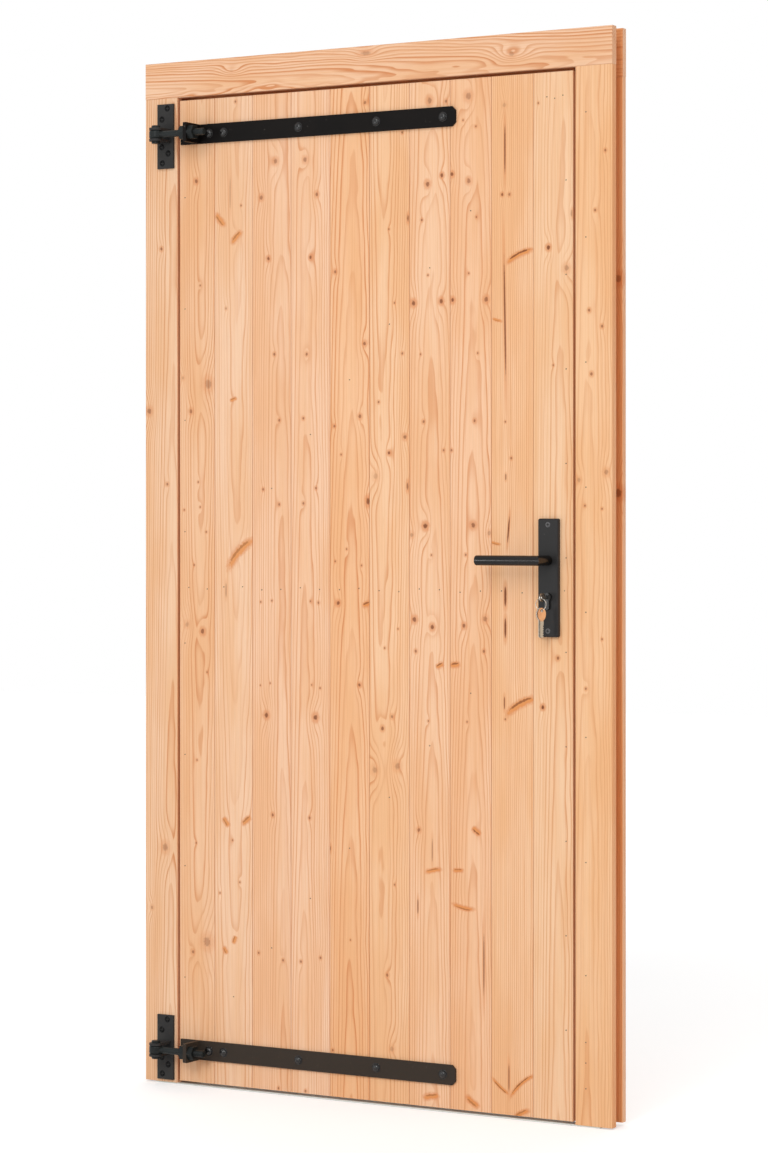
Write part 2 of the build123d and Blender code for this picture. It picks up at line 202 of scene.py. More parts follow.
def knot_group():
    """One knot at a place on the board's face.

    Its distance is elliptical, turned by the tilt and longer by the stretch, about a middle line that the
    bend bows to a parabola. Its ends are blunter the higher the power of the length in that distance. The
    heart is a disc of the distance with a ragged rim; in amber wood it is narrower and lies along one edge.
    The swell is a bell of a longer ellipse, so that growth rings flow round it.
    """
    values = ["Across", "Along", "Radius", "Stretch", "Tilt", "Bend"]
    values += ["Blunt", "Darkness", "Amber", "Glow", "Swell", "Ragged", "Rim"]
    values += ["Swell so far", "Heart so far", "Amber so far", "Halo so far"]
    tree, given, out = new_group("knot", ["Point"], values, ["Swell", "Heart", "Amber wood", "Halo"])
    x, _, z = split(tree, given["Point"])
    across = minus(tree, x, given["Across"])
    along = minus(tree, z, given["Along"])
    cosine = maths(tree, "COSINE", given["Tilt"])
    sine = maths(tree, "SINE", given["Tilt"])
    side = minus(tree, times(tree, across, cosine), times(tree, along, sine))
    length = times_plus(tree, across, sine, times(tree, along, cosine))
    bow = times(tree, times(tree, length, length), given["Bend"])
    side = minus(tree, side, bow)
    side = maths(tree, "DIVIDE", side, given["Radius"])
    length = maths(tree, "DIVIDE", length, times(tree, given["Radius"], given["Stretch"]))
    length = maths(tree, "POWER", maths(tree, "ABSOLUTE", length), given["Blunt"])
    distance = vectors(tree, "LENGTH", combine(tree, side, length, 0.0))
    rim = times_plus(tree, given["Rim"], given["Ragged"], distance)
    edge = times_plus(tree, side, maths(tree, "ADD", given["Amber"], 1.0), given["Amber"])
    core = vectors(tree, "LENGTH", combine(tree, edge, length, 0.0))
    core = times_plus(tree, given["Rim"], given["Ragged"], core)
    heart = times(tree, span(tree, core, *HEART_RIM), given["Darkness"])
    amber = times(tree, span(tree, rim, *AMBER_RIM), given["Amber"])
    near_along = times(tree, along, SWELL_SQUEEZE)
    far = vectors(tree, "LENGTH", combine(tree, across, near_along, 0.0))
    wide = maths(tree, "DIVIDE", far, times(tree, given["Radius"], SWELL_REACH))
    bell = maths(tree, "EXPONENT", times(tree, times(tree, wide, wide), -1.0))
    feed(tree, out["Swell"], times_plus(tree, bell, given["Swell"], given["Swell so far"]))
    feed(tree, out["Heart"], maths(tree, "MAXIMUM", heart, given["Heart so far"]))
    feed(tree, out["Amber wood"], maths(tree, "MAXIMUM", amber, given["Amber so far"]))
    halo = times(tree, span(tree, rim, *HALO_RIM), given["Glow"])
    feed(tree, out["Halo"], maths(tree, "MAXIMUM", halo, given["Halo so far"]))
    return tree


# Growth rings: noise scales across and along the grain, and the step between the seeds
SLOW_SCALES = (5.0, 1.5)
QUICK_SCALES = (30.0, 6.0)
SEED_STEP = 7.31
# The share of a ring over which its late wood rises, then falls
LATE_RISE = (0.30, 0.92)
LATE_FALL = (1.0, 0.93)
# The faintest ring's strength, that of rings flat under the face, and the slant from which it is full
FAINTEST_RING = 0.35
FLAT_STRENGTH = 0.5
FLAT_SLANT = 0.4
# Scales of the streaks, fibres and mottle, and how far the first two are drawn out along the grain
STREAK_SCALE = 330.0
STREAK_DRAW = 0.006
STREAK_SWAY = 0.02
FIBRE_SCALE = 900.0
FIBRE_DRAW = 0.02
MOTTLE_SCALE = 3.0
MOTTLE_ACROSS = 5.0


def drawn_noise(tree, x, seed, z, scales, detail):
    """A noise about nought, with its own scales across and along the grain."""
    across = times(tree, x, scales[0])
    along = times(tree, z, scales[1])
    return minus(tree, noise(tree, combine(tree, across, seed, along), 1.0, detail), 0.5)


def rings_group():
    """Growth rings of a board cut from a log.

    The radius is the distance from a leaning pith line, warped by slow noise and swollen at knots. Each
    ring darkens slowly through the early wood and ends in a narrow late-wood line. Rings differ in
    strength and fade where they lie flat under the face. Streaks are a noise drawn out along the grain.
    """
    values = ["Pith across", "Pith depth", "Lean across", "Lean depth"]
    values += ["Ring", "Wander", "Ripple", "Sharpness", "Seed", "Swell"]
    outputs = ["Late wood", "Streak", "Fibre", "Mottle"]
    tree, given, out = new_group("growth_rings", ["Point"], values, outputs)
    x, y, z = split(tree, given["Point"])
    seed = times(tree, given["Seed"], SEED_STEP)
    slow = drawn_noise(tree, x, seed, z, SLOW_SCALES, 1.0)
    quick = drawn_noise(tree, x, seed, z, QUICK_SCALES, 2.0)
    across = minus(tree, x, given["Pith across"])
    across = minus(tree, across, times(tree, z, given["Lean across"]))
    across = times_plus(tree, quick, given["Ripple"], across)
    depth = maths(tree, "ADD", y, given["Pith depth"])
    depth = times_plus(tree, z, given["Lean depth"], depth)
    depth = times_plus(tree, slow, given["Wander"], depth)
    depth = times_plus(tree, quick, given["Ripple"], depth)
    radius = vectors(tree, "LENGTH", combine(tree, across, depth, 0.0))
    slant = maths(tree, "DIVIDE", maths(tree, "ABSOLUTE", across), radius)
    radius = maths(tree, "ADD", radius, given["Swell"])
    count = maths(tree, "DIVIDE", radius, given["Ring"])
    phase = maths(tree, "FRACT", count)
    rise = maths(tree, "POWER", span(tree, phase, *LATE_RISE), given["Sharpness"])
    line = times(tree, rise, span(tree, phase, *LATE_FALL))
    strength = tree.nodes.new("ShaderNodeTexWhiteNoise")
    strength.noise_dimensions = "1D"
    feed(tree, strength.inputs["W"], maths(tree, "ADD", maths(tree, "FLOOR", count), seed))
    weight = times_plus(tree, strength.outputs["Value"], 1.0 - FAINTEST_RING, FAINTEST_RING)
    weight = times(tree, weight, span(tree, slant, 0.0, FLAT_SLANT, FLAT_STRENGTH, 1.0))
    feed(tree, out["Late wood"], times(tree, line, weight))
    swayed = times_plus(tree, slow, STREAK_SWAY, x)
    streak_point = combine(tree, swayed, y, times_plus(tree, z, STREAK_DRAW, seed))
    feed(tree, out["Streak"], noise(tree, streak_point, STREAK_SCALE, 3.0, 0.6))
    fibre_point = combine(tree, x, y, times_plus(tree, z, FIBRE_DRAW, seed))
    feed(tree, out["Fibre"], noise(tree, fibre_point, FIBRE_SCALE, 2.0, 0.6))
    mottle_point = combine(tree, times(tree, x, MOTTLE_ACROSS), seed, z)
    feed(tree, out["Mottle"], noise(tree, mottle_point, MOTTLE_SCALE, 2.0))
    return tree


KNOT = knot_group()
RINGS = rings_group()

# Softwood colours, and tints that pieces and faces are multiplied by; the groove tint is painted shade
EARLY_WOOD = srgb(246, 204, 171)
HONEY_WOOD = srgb(241, 191, 150)
LATE_WOOD = srgb(216, 143, 94)
HALO_WOOD = srgb(220, 142, 92)
STREAK_WOOD = srgb(231, 171, 124)
KNOT_HEART = srgb(126, 72, 42)
AMBER_WOOD = srgb(226, 149, 86)
PLAIN = (255, 255, 255)
# A darker, redder tint for the faces across X
SIDE_TINT = (255, 237, 225)
# Painted shade: a darker, warmer tint for faces inside the wall groove
GROOVE_SHADE = (250, 214, 172)
PALE_END = (255, 247, 242)
# How far rings swell round a knot, as a share of its radius, and how far a pocket's ends are drawn out
SWELL_SHARE = 0.7
SLIT_TAPER = 1.3


def knot(x, z, radius, stretch=1.2, tilt=0.0, dark=0.85, amber=0.0, glow=1.0, swell=1.5, ragged=0.7,
         bend=0.0, blunt=1.0):
    """A knot by its place in the door and its size, all in millimetres; the tilt is in degrees.

    The bend is half the curvature of its middle line, for each metre.
    """
    look = {
        "Radius": radius / 1000,
        "Stretch": stretch,
        "Tilt": math.radians(tilt),
        "Darkness": dark,
        "Amber": amber,
        "Glow": glow * max(dark, amber),
        "Swell": SWELL_SHARE * swell * radius / 1000,
        "Ragged": ragged,
        "Bend": bend,
        "Blunt": blunt,
    }
    return x / 1000, z / 1000, look


def pin(x, z, radius=2.4, dark=0.66):
    """A small round knot, called a pin knot."""
    return knot(x, z, radius, stretch=1.2, dark=dark, swell=1.1, ragged=0.4)


def spike(x, z, radius, stretch, tilt, dark=0.45):
    """A branch cut lengthwise, seen as a slanting and slightly bent amber streak."""
    return knot(x, z, radius, stretch, tilt, dark, amber=0.85, swell=0.8, ragged=1.2, bend=4.0, blunt=2.0)


def slit(x, z, half_length, tilt=0.0, radius=2.2, dark=1.0):
    """A narrow open resin pocket along the grain."""
    stretch = SLIT_TAPER * half_length / radius
    return knot(x, z, radius, stretch, tilt, dark, glow=0.7, swell=0.0, ragged=0.25, blunt=1.5)


def face_distances(tree, given):
    """Distances from a point to a box's low faces and to its high faces, along each axis."""
    below = split(tree, vectors(tree, "SUBTRACT", given["Point"], given["Low"]))
    above = split(tree, vectors(tree, "SUBTRACT", given["High"], given["Point"]))
    return below, above


def box_edges_group():
    """How near a point lies to an edge of a box.

    The distance to the nearer face is taken along each axis. The middle one of the three is small only
    where two faces meet, so it falls to nothing along the box's edges.
    """
    tree, given, out = new_group("box_edges", ["Point", "Low", "High"], ["Width"], ["Edge"])
    below, above = face_distances(tree, given)
    a, b, c = [maths(tree, "MINIMUM", low, high) for low, high in zip(below, above)]
    lesser = maths(tree, "MINIMUM", a, b)
    greater = maths(tree, "MAXIMUM", a, b)
    middle = maths(tree, "MAXIMUM", lesser, maths(tree, "MINIMUM", greater, c))
    feed(tree, out["Edge"], span(tree, middle, given["Width"], 0.0))
    return tree


# Metal faces: scale and peaks of the scuffs, their gain at edges, and the heights between which the painted
# sheen of the floor's light thickens
SCUFF_SCALE = 160.0
SCUFF_PEAKS = (0.66, 0.78)
EDGE_SCUFF = 0.16
FLOOR_SHEEN_HEIGHTS = (1.6, 0.3)
# Painted sheen: a pale dusty tone standing in for the floor's light reflected low on the straps
FLOOR_SHEEN = srgb(150, 132, 116)


def metal_group():
    """Texture of a coated or drawn metal face: fine grain, soft handling smudges, sparse scuffs and a painted
    sheen of the floor's light.

    Each is a noise of the point at its own scale. Scuffs keep only the noise's peaks, and the painted sheen
    fades with height.
    """
    values = ["Grain scale", "Smudge scale", "Edge"]
    outputs = ["Grain", "Smudge", "Scuff", "Floor sheen"]
    tree, given, out = new_group("metal_face", ["Point"], values, outputs)
    grain = noise(tree, given["Point"], given["Grain scale"], 3.0, 0.6)
    smudge = noise(tree, given["Point"], given["Smudge scale"], 3.0)
    peaks = noise(tree, given["Point"], SCUFF_SCALE, 4.0, 0.65)
    scuff = times_plus(tree, given["Edge"], EDGE_SCUFF, peaks)
    feed(tree, out["Grain"], grain)
    feed(tree, out["Smudge"], smudge)
    feed(tree, out["Scuff"], span(tree, scuff, *SCUFF_PEAKS))
    _, _, z = split(tree, given["Point"])
    feed(tree, out["Floor sheen"], span(tree, z, *FLOOR_SHEEN_HEIGHTS))
    return tree


# Depths under a face, in metres, between which a point comes to lie on it
FACE_DEPTHS = (0.0009, 0.0002)


def box_sides_group():
    """Which face of a box a point lies on: its two sides across X, or its front across Y.

    A point counts as on a face as its distance to that face falls through about half a millimetre.
    """
    tree, given, out = new_group("box_sides", ["Point", "Low", "High"], [], ["Side", "Front"])
    below, above = face_distances(tree, given)
    feed(tree, out["Side"], span(tree, maths(tree, "MINIMUM", below[0], above[0]), *FACE_DEPTHS))
    feed(tree, out["Front"], span(tree, below[1], *FACE_DEPTHS))
    return tree


BOX_EDGES = box_edges_group()
BOX_SIDES = box_sides_group()
METAL_FACE = metal_group()


def start_material(name):
    """A new node material: its tree, its Principled shader and the piece's own coordinates."""
    material = bpy.data.materials.new(name)
    material.use_nodes = True
    tree = material.node_tree
    place = tree.nodes.new("ShaderNodeTexCoord").outputs["Object"]
    return material, tree, tree.nodes["Principled BSDF"], place


def raise_bump(tree, shader, height, distance, strength):
    """Feeds a height through a Bump node to the shader's normal."""
    bump = tree.nodes.new("ShaderNodeBump")
    bump.inputs["Strength"].default_value = strength
    bump.inputs["Distance"].default_value = distance
    feed(tree, bump.inputs["Height"], height)
    feed(tree, shader.inputs["Normal"], bump.outputs["Normal"])


# Scale of the ragged rims, shares of the wood's marks in its colour, the painted shade along edges, and
# widths of edges in metres
KNOT_RIM_SCALE = 230.0
STREAK_SHARE = 0.5
HALO_SHARE = 0.75
EDGE_SHADE = -0.05
WOOD_EDGE = 0.0022
METAL_EDGE = 0.0015


def wood_material(node, turn=0.0, pith=(0.0, 0.05), lean=(0.0, 0.01), ring=0.0044, wander=0.012,
                  ripple=0.006, sharpness=3.2, seed=0.0, tint=PLAIN, front=PLAIN, side=SIDE_TINT,
                  contrast=0.6, knots=()):
    """Planed softwood for one piece: its grain's turn from upright, its cut of the log, tints and knots; the
    front tint paints shade on a face inside the wall groove.
    """
    material, tree, shader, place = start_material(node)
    low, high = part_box(node)
    origin = ((low.x + high.x) / 2, low.y, (low.z + high.z) / 2)
    cosine, sine = math.cos(math.radians(turn)), math.sin(math.radians(turn))
    x, y, z = split(tree, vectors(tree, "SUBTRACT", place, origin))
    across = times_plus(tree, x, cosine, times(tree, z, -sine))
    along = times_plus(tree, x, sine, times(tree, z, cosine))
    point = combine(tree, across, y, along)
    rim = minus(tree, noise(tree, place, KNOT_RIM_SCALE, 2.0), 0.5)
    swell, heart, amber, halo = 0.0, 0.0, 0.0, 0.0
    for knot_x, knot_z, look in knots:
        right, up = knot_x - origin[0], knot_z - origin[2]
        values = {**look, "Point": point, "Rim": rim}
        values.update({"Across": right * cosine - up * sine, "Along": right * sine + up * cosine})
        values.update({"Swell so far": swell, "Heart so far": heart})
        values.update({"Amber so far": amber, "Halo so far": halo})
        made = place_group(tree, KNOT, values)
        swell, heart, amber, halo = made["Swell"], made["Heart"], made["Amber wood"], made["Halo"]
    values = {"Point": point, "Pith across": pith[0], "Pith depth": pith[1], "Lean across": lean[0]}
    values.update({"Lean depth": lean[1], "Ring": ring, "Wander": wander, "Seed": seed, "Swell": swell})
    values.update({"Ripple": ripple, "Sharpness": sharpness})
    rings = place_group(tree, RINGS, values)
    box = {"Point": place, "Low": low, "High": high}
    edge = place_group(tree, BOX_EDGES, {**box, "Width": WOOD_EDGE})["Edge"]
    faces = place_group(tree, BOX_SIDES, box)
    base = blend(tree, span(tree, rings["Mottle"], 0.35, 0.68), EARLY_WOOD, HONEY_WOOD)
    streak = times(tree, span(tree, rings["Streak"], 0.42, 0.72), STREAK_SHARE)
    base = blend(tree, streak, base, STREAK_WOOD)
    base = blend(tree, times(tree, rings["Late wood"], contrast), base, LATE_WOOD)
    base = blend(tree, times(tree, halo, HALO_SHARE), base, HALO_WOOD)
    base = blend(tree, amber, base, AMBER_WOOD)
    base = blend(tree, heart, base, KNOT_HEART)
    fleck = span(tree, rings["Fibre"], 0.3, 0.75, 0.96, 1.02)
    # Painted shade: the colour darkens by a twentieth along the box's edges and seams
    fleck = times_plus(tree, edge, EDGE_SHADE, fleck)
    base = blend(tree, 1.0, base, combine(tree, fleck, fleck, fleck), "MULTIPLY")
    base = blend(tree, 1.0, base, srgb(*tint), "MULTIPLY")
    # Painted shade: the front tint darkens the front face, for rear boards that the wall groove shades
    base = blend(tree, faces["Front"], base, blend(tree, 1.0, base, srgb(*front), "MULTIPLY"))
    base = blend(tree, faces["Side"], base, blend(tree, 1.0, base, srgb(*side), "MULTIPLY"))
    feed(tree, shader.inputs["Base Color"], base)
    feed(tree, shader.inputs["Roughness"], span(tree, rings["Late wood"], 0.0, 1.0, 0.62, 0.5))
    shader.inputs["Specular IOR Level"].default_value = 0.25
    height = times(tree, rings["Late wood"], 0.5)
    height = times_plus(tree, rings["Fibre"], 0.6, height)
    raise_bump(tree, shader, height, 0.0003, 0.25)
    return material


def metal_material(name, dark, light, worn, roughness, metallic, grain=900.0, smudge=14.0,
                   stretch=(1, 1, 1), floor_sheen=0.0, specular=0.5, box=None, bump=0.15, blade=None):
    """A metal finish: two tones mixed by smudges, scuffs at the edges, a painted sheen of the floor's light
    at its foot and fine grain.

    A blade gives a colour, and the two heights between which a key's head passes into it.
    """
    material, tree, shader, place = start_material(name)
    point = vectors(tree, "MULTIPLY", place, stretch)
    edge = 0.0
    if box is not None:
        values = {"Point": place, "Low": box[0], "High": box[1], "Width": METAL_EDGE}
        edge = place_group(tree, BOX_EDGES, values)["Edge"]
    values = {"Point": point, "Grain scale": grain, "Smudge scale": smudge, "Edge": edge}
    face = place_group(tree, METAL_FACE, values)
    base = blend(tree, span(tree, face["Smudge"], 0.3, 0.7), srgb(*dark), srgb(*light))
    base = blend(tree, times(tree, face["Scuff"], 0.5), base, srgb(*worn))
    # Painted sheen: paler towards the floor, standing in for the floor's reflected light
    base = blend(tree, times(tree, face["Floor sheen"], floor_sheen), base, FLOOR_SHEEN)
    if blade is not None:
        tone, foot, neck = blade
        base = blend(tree, span(tree, split(tree, place)[2], neck, foot), base, srgb(*tone))
    feed(tree, shader.inputs["Base Color"], base)
    shader.inputs["Metallic"].default_value = metallic
    shader.inputs["Specular IOR Level"].default_value = specular
    rough = span(tree, face["Smudge"], 0.2, 0.8, roughness - 0.06, roughness + 0.06)
    feed(tree, shader.inputs["Roughness"], times_plus(tree, face["Grain"], 0.06, rough))
    raise_bump(tree, shader, face["Grain"], 0.0002, bump)
    return material


def finish(node, material):
    """Gives a CAD node its one material."""
    mesh = nodes[node].data
    mesh.materials.clear()
    mesh.materials.append(material)


def timber(node, knots=(), **cut):
    """Gives one piece its own planed softwood."""
    finish(node, wood_material(node, knots=knots, **cut))


def leaf_board(number, knots, **cut):
    """Planed softwood for one of the leaf's boards, counted from the hinges."""
    timber(f"leaf_board_{number:02d}", knots, side=PLAIN, **cut)


# Leaf boards: knots and resin pockets, then pith, lean, tint and line contrast of each
leaf_board(1, [
    knot(-419, 1888, 5, dark=0.7),
    pin(-409, 1670),
    knot(-452, 1478, 4, dark=0.3, swell=2.2),
    knot(-389, 1464, 11, dark=0.42),
    knot(-432, 1408, 5, dark=0.6),
    pin(-414, 1260),
    pin(-449, 1202),
    pin(-409, 1208),
    pin(-394, 1156),
    pin(-424, 1087),
    knot(-442, 963, 6, dark=0.3, swell=2.0),
    knot(-403, 949, 6, dark=0.75),
    pin(-392, 864),
    pin(-417, 680),
    pin(-419, 507),
    knot(-392, 302, 12, dark=0.42),
    knot(-427, 279, 4.5, dark=0.6),
], pith=(0.006, 0.034), lean=(0.003, -0.012), seed=1.0, tint=(250, 245, 235), contrast=1.05)
leaf_board(2, [
    pin(-322, 2048, 3),
    slit(-335, 1859, 32, dark=0.35),
    spike(-320, 1767, 5, 3.0, 45),
    spike(-360, 1804, 5, 3.0, -40),
    knot(-345, 1620, 3, dark=0.4),
    pin(-308, 1832),
    spike(-327, 1431, 3, 2.5, 70),
    spike(-313, 1116, 7, 5.5, 46),
    slit(-345, 1035, 14, dark=0.5),
    spike(-345, 554, 4.5, 2.2, -35),
    spike(-295, 560, 4.5, 2.6, 50),
    pin(-329, 517),
    spike(-324, 311, 4, 1.8, 20),
    spike(-347, 288, 4, 1.8, -30),
    pin(-311, 431),
    pin(-360, 406),
], pith=(0.004, 0.045), lean=(0.003, -0.016), seed=2.0, tint=(253, 255, 254), contrast=0.76)
leaf_board(3, [
    knot(-224, 1919, 6, dark=0.55, swell=2.0),
    knot(-259, 1846, 5.5, dark=0.6),
    knot(-241, 1719, 4.5),
    pin(-227, 1522, 3.6),
    pin(-215, 1386, 3.4),
    pin(-254, 1244, 3.2),
    pin(-215, 1213, 3.2),
    pin(-260, 1012),
    pin(-233, 1015),
    pin(-261, 840, 2),
    pin(-237, 845, 2),
    knot(-246, 779, 6, swell=2.2),
    knot(-231, 574, 4, dark=0.7),
    pin(-265, 288, 3.2),
    pin(-206, 277, 3.2),
    pin(-217, 13, 3),
], pith=(0.022, 0.034), lean=(-0.004, 0.012), seed=3.0, tint=(253, 251, 248), contrast=0.92)
leaf_board(4, [
    knot(-153, 1918, 5.5, dark=0.55, swell=2.0),
    knot(-125, 1846, 5, dark=0.65),
    knot(-140, 1718, 4.2),
    pin(-149, 1520, 3.6),
    pin(-157, 1389, 3.2),
    pin(-127, 1246, 3.2),
    pin(-157, 1215, 3.2),
    pin(-140, 1015),
    pin(-121, 1012, 3),
    pin(-137, 844, 2),
    pin(-117, 838, 2.4),
    knot(-128, 778, 6.5, swell=2.2),
    pin(-142, 572, 3.6),
    pin(-163, 277, 3.2),
    pin(-116, 288, 3.2),
    pin(-152, 13, 3),
], pith=(-0.016, 0.034), lean=(0.004, 0.012), seed=3.7, tint=(255, 255, 254), contrast=0.85)
leaf_board(5, [
    knot(-11, 2026, 4, dark=0.6),
    pin(-81, 1686, 4),
    knot(-12, 1538, 4.5, dark=0.7),
    knot(-23, 1391, 4.5, dark=0.65),
    pin(-83, 1372, 3.4),
    pin(-67, 1314),
    knot(-4, 1219, 5.5, stretch=1.8),
    pin(-54, 1122),
    pin(-81, 1097),
    pin(-19, 1089),
    knot(-74, 1012, 5),
    spike(-7, 1011, 4.5, 2.0, 70, dark=0.75),
    knot(-24, 847, 4),
    knot(-94, 513, 3.5, stretch=2.4, dark=0.7),
    pin(-45, 329, 2),
    pin(-87, 102, 3),
], pith=(0.000, 0.050), lean=(0.002, 0.020), seed=5.0, tint=(254, 245, 229), contrast=1.15)
leaf_board(6, [
    pin(76, 1960, 3),
    knot(89, 1787, 3, stretch=3.0, dark=0.7),
    pin(45, 1767),
    pin(58, 1618),
    pin(76, 1516, 3),
    pin(21, 1419, 3),
    knot(82, 1348, 5, dark=0.65),
    knot(45, 1316, 4),
    knot(14, 1270, 7, dark=0.25, swell=2.0),
    knot(88, 1249, 3, stretch=3.5, dark=0.7),
    pin(35, 923),
    pin(66, 962, 2.2),
    knot(52, 785, 4, dark=0.6),
    knot(30, 761, 4.5, dark=0.75),
    knot(12, 676, 8, dark=0.35, swell=2.3),
    knot(65, 686, 8, dark=0.4, swell=2.3),
    pin(58, 447),
    knot(41, 264, 4, dark=0.65),
    knot(52, 116, 6, dark=0.3, swell=2.0),
], pith=(-0.020, 0.042), lean=(0.004, -0.010), seed=6.0, tint=(255, 252, 241), contrast=0.92)
leaf_board(7, [
    knot(139, 2020, 7, dark=0.5, swell=2.0),
    knot(176, 2016, 4, dark=0.6),
    knot(167, 1869, 4.5),
    knot(134, 1853, 6, dark=0.75),
    pin(121, 1782, 3),
    pin(135, 1671),
    knot(102, 1616, 6),
    knot(165, 1618, 5.5),
    pin(118, 1513),
    pin(125, 1378, 3.6),
    pin(171, 1320, 3),
    knot(129, 1169, 6.5, dark=0.9, swell=2.0),
    knot(98, 1151, 5, dark=0.4),
    pin(143, 1111),
    knot(104, 982, 6, dark=0.8),
    knot(145, 967, 5.5),
    pin(107, 918, 3.6),
    spike(162, 891, 4, 2.0, 60, dark=0.75),
    pin(136, 779),
    knot(114, 560, 4.5, dark=0.65),
    slit(145, 521, 22, dark=0.5),
    spike(147, 481, 3.6, 4.5, 78),
    slit(112, 407, 15, dark=0.7),
    spike(142, 29, 5, 3.2, 80),
], pith=(0.002, 0.046), lean=(-0.002, 0.018), seed=7.0, tint=(255, 252, 245), contrast=0.95)
leaf_board(8, [
    knot(227, 2023, 8, dark=0.45, swell=2.0),
    pin(215, 1976),
    pin(244, 1962),
    knot(190, 1870, 4.5),
    knot(228, 1855, 5.5, dark=0.55, swell=2.0),
    pin(245, 1782),
    pin(228, 1671),
    knot(191, 1619, 5, dark=0.9),
    knot(267, 1618, 6, dark=0.7),
    pin(248, 1512),
    pin(241, 1378, 3.6),
    pin(189, 1320, 3),
    knot(238, 1171, 6, dark=0.75, swell=0.4),
    knot(274, 1155, 5, dark=0.35, swell=2.0),
    pin(221, 1112, 3),
    knot(265, 985, 6, dark=0.5, swell=2.0),
    knot(217, 971, 5, dark=0.75),
    pin(262, 921, 3.6),
    spike(197, 893, 4.5, 2.2, 80, dark=0.75),
    pin(224, 780),
    spike(245, 564, 4.5, 2.2, -55, dark=0.75),
    spike(204, 484, 3.4, 3.0, 85),
    spike(215, 410, 3.6, 6.0, -80, dark=0.5),
    slit(262, 300, 58, dark=0.75),
    spike(236, 26, 5, 3.0, -55),
], pith=(0.004, 0.046), lean=(0.002, 0.018), seed=8.0, tint=(255, 250, 242), contrast=1.00)
leaf_board(9, [
    knot(308, 2000, 5, dark=0.25, swell=2.0),
    slit(309, 1913, 46),
    knot(303, 1824, 3.4),
    knot(319, 1823, 3.4, dark=0.6),
    spike(340, 1704, 4.6, 6.0, 67, dark=0.9),
    slit(309, 1580, 113, tilt=-1.0, radius=2.6, dark=0.9),
    spike(292, 1576, 2.2, 4.5, -75, dark=0.3),
    pin(310, 1375),
    pin(323, 1303, 3),
    slit(311, 1266, 6, dark=0.7),
    slit(317, 1162, 25, tilt=5),
    spike(287, 1135, 2.2, 5.0, -78),
    slit(310, 1030, 19, radius=3.6),
    slit(310, 968, 19, radius=3.2),
    spike(343, 819, 6, 5.5, 62, dark=0.75),
    slit(308, 820, 12, dark=0.8),
    pin(310, 788),
    spike(299, 61, 2.6, 8.0, -52, dark=0.75),
    spike(344, 71, 3.2, 10.0, 48, dark=0.75),
    slit(318, 81, 26, dark=0.7),
    spike(346, 14, 4, 4.0, 62),
], pith=(0.090, 0.020), lean=(0.003, 0.004), seed=9.0, wander=0.008, tint=(255, 251, 239), contrast=0.90)
leaf_board(10, [
    pin(383, 1999),
    knot(405, 1715, 5, dark=0.95, swell=2.0),
    knot(445, 1673, 7, dark=0.45, swell=2.0),
    pin(416, 1484),
    knot(426, 911, 4, dark=0.75),
    knot(393, 814, 4.5, dark=1.0),
    knot(456, 1779, 3, stretch=3.0, dark=0.4),
], pith=(0.015, 0.040), lean=(0.004, 0.009), seed=10.0, tint=(255, 255, 246), contrast=0.80)

# Frame boards
timber("hinge_jamb_front_board", [
    knot(-505, 1750, 4, dark=0.7),
    knot(-536, 1410, 7, dark=0.6, swell=2.0),
    pin(-490, 1256, 3.4),
    knot(-495, 494, 9, dark=0.45),
    knot(-529, 366, 4, dark=0.4, swell=3.0),
], pith=(0.026, 0.030), lean=(0.004, 0.012), seed=11.0, tint=(250, 251, 247), contrast=1.10)
timber("lock_jamb_front_board", [
    pin(530, 1898, 3.2),
    pin(508, 1783, 3.2),
    pin(495, 1589, 3.6),
    pin(523, 1557, 3.6),
    pin(500, 1465, 4),
    knot(532, 1274, 6, dark=0.45),
    knot(473, 1259, 5, dark=0.35),
    pin(486, 1209, 2.6),
    pin(523, 1203, 2.6),
    pin(523, 950, 2.6),
    pin(488, 853, 3),
], pith=(-0.012, 0.040), lean=(0.004, 0.007), seed=12.0, tint=(255, 249, 232), contrast=0.82)
timber("head_front_board", [
    knot(-8, 2125, 6, stretch=2.6, dark=0.35, swell=2.6),
    knot(325, 2100, 7, dark=0.30, swell=4.0),
    knot(-330, 2113, 5, dark=0.10, swell=3.4),
], turn=90.0, pith=(0.030, 0.026), lean=(0.020, 0.034), ring=0.0050, wander=0.070, ripple=0.030,
   sharpness=1.0, seed=13.0, tint=(253, 252, 249), side=PALE_END, contrast=1.4)

# Core and rear boards of the frame, with painted shade: the cores are tinted darker all over, and the rear
# boards' fronts facing the wall groove darker and warmer, standing in for the groove's shade
CORE_SHADE_TINT = (236, 214, 196)
timber("hinge_jamb_core", pith=(0.02, 0.03), lean=(0.010, 0.024), ring=0.0090, seed=14.0, tint=CORE_SHADE_TINT,
       contrast=1.5)
timber("lock_jamb_core", pith=(-0.02, 0.03), lean=(0.012, 0.030), ring=0.0090, seed=15.0, tint=CORE_SHADE_TINT,
       contrast=1.5)
timber("head_core", turn=90.0, pith=(0.04, 0.04), seed=16.0, tint=CORE_SHADE_TINT)
timber("hinge_jamb_rear_board", [
    knot(-505, 1540, 6, dark=0.7),
    pin(-470, 1180),
    knot(-520, 760, 5, dark=0.8),
    pin(-490, 330, 3.2),
], pith=(0.02, -0.05), seed=17.0, front=GROOVE_SHADE)
timber("lock_jamb_rear_board", [
    pin(498, 1820, 3.4),
    knot(536, 1652, 9, dark=0.55, swell=2.0),
    knot(520, 1390, 7, dark=0.45),
    knot(536, 1234, 10, dark=0.65, swell=2.0),
    knot(478, 640, 5, dark=0.75),
    pin(512, 240),
], pith=(-0.03, -0.05), seed=18.0, front=GROOVE_SHADE, side=(255, 241, 230))
timber("head_rear_board", [
    knot(-250, 2090, 6, dark=0.5),
    pin(180, 2110, 3.5),
], turn=90.0, pith=(0.0, -0.05), lean=(0.006, 0.018), wander=0.022, seed=19.0, front=GROOVE_SHADE,
   side=PALE_END, contrast=0.8)

